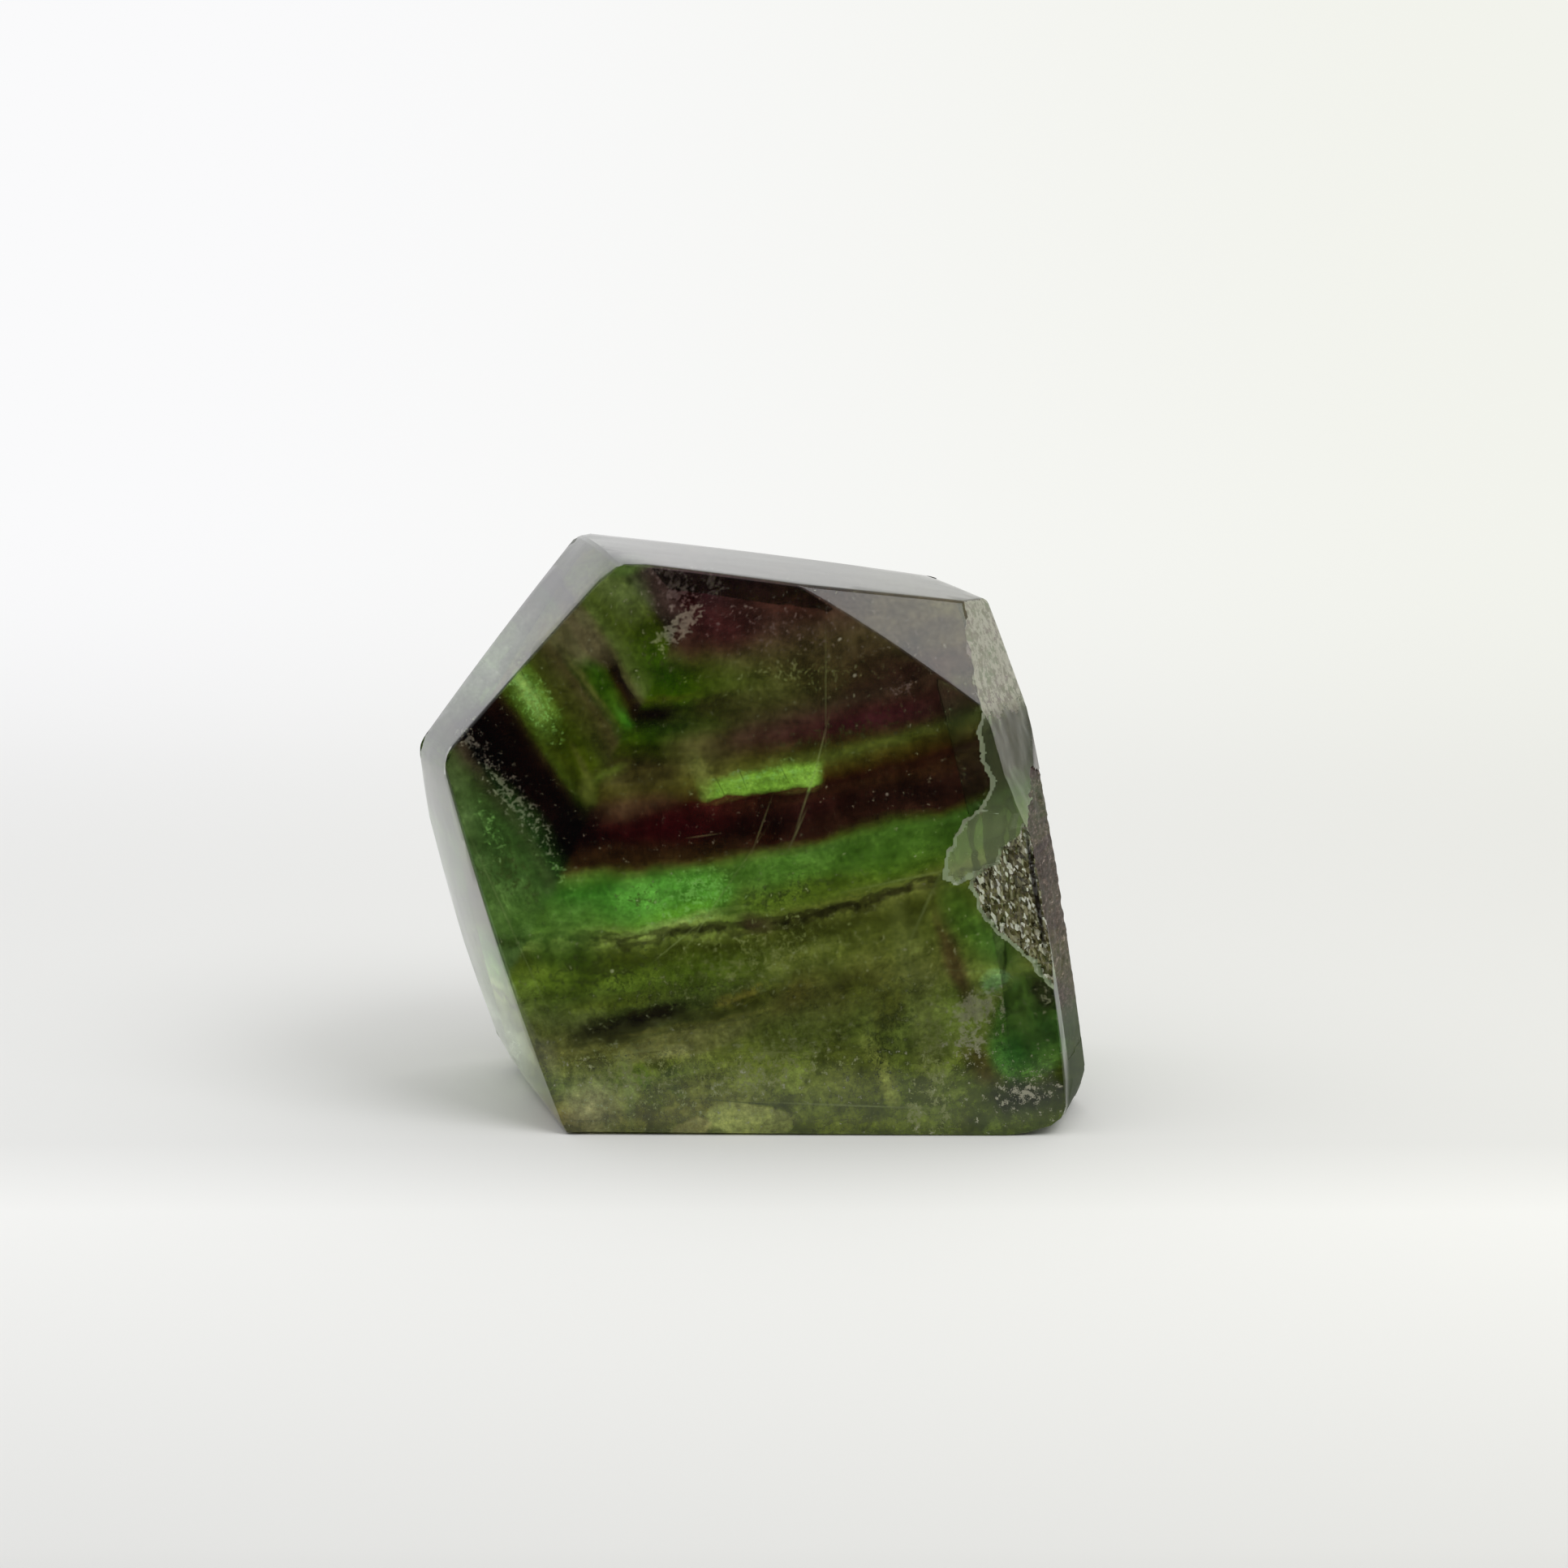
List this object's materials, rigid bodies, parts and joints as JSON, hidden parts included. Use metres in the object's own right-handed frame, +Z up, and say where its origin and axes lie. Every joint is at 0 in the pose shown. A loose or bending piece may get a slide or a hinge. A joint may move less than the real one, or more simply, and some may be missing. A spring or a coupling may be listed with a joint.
{
  "type": "rainbow fluorite freeform",
  "caption": "Polished freeform of banded green and purple fluorite with broad flat-looking faces, a chipped edge and a flat foot; stands on a shelf or desk.",
  "frame": {"origin": "centre of the foot, on the surface that the stone stands on", "axes": "+Z up, +X to the right along the stone's longest side, -Y towards the viewer of the large polished front face"},
  "size_m": [0.0595, 0.0373, 0.05],
  "materials": {
    "banded_fluorite": "polished, see-through green and purple fluorite with one broken, frosted face"
  },
  "bodies": {
    "root": {"fluorite_freeform": "banded_fluorite"}
  },
  "joints": []
}
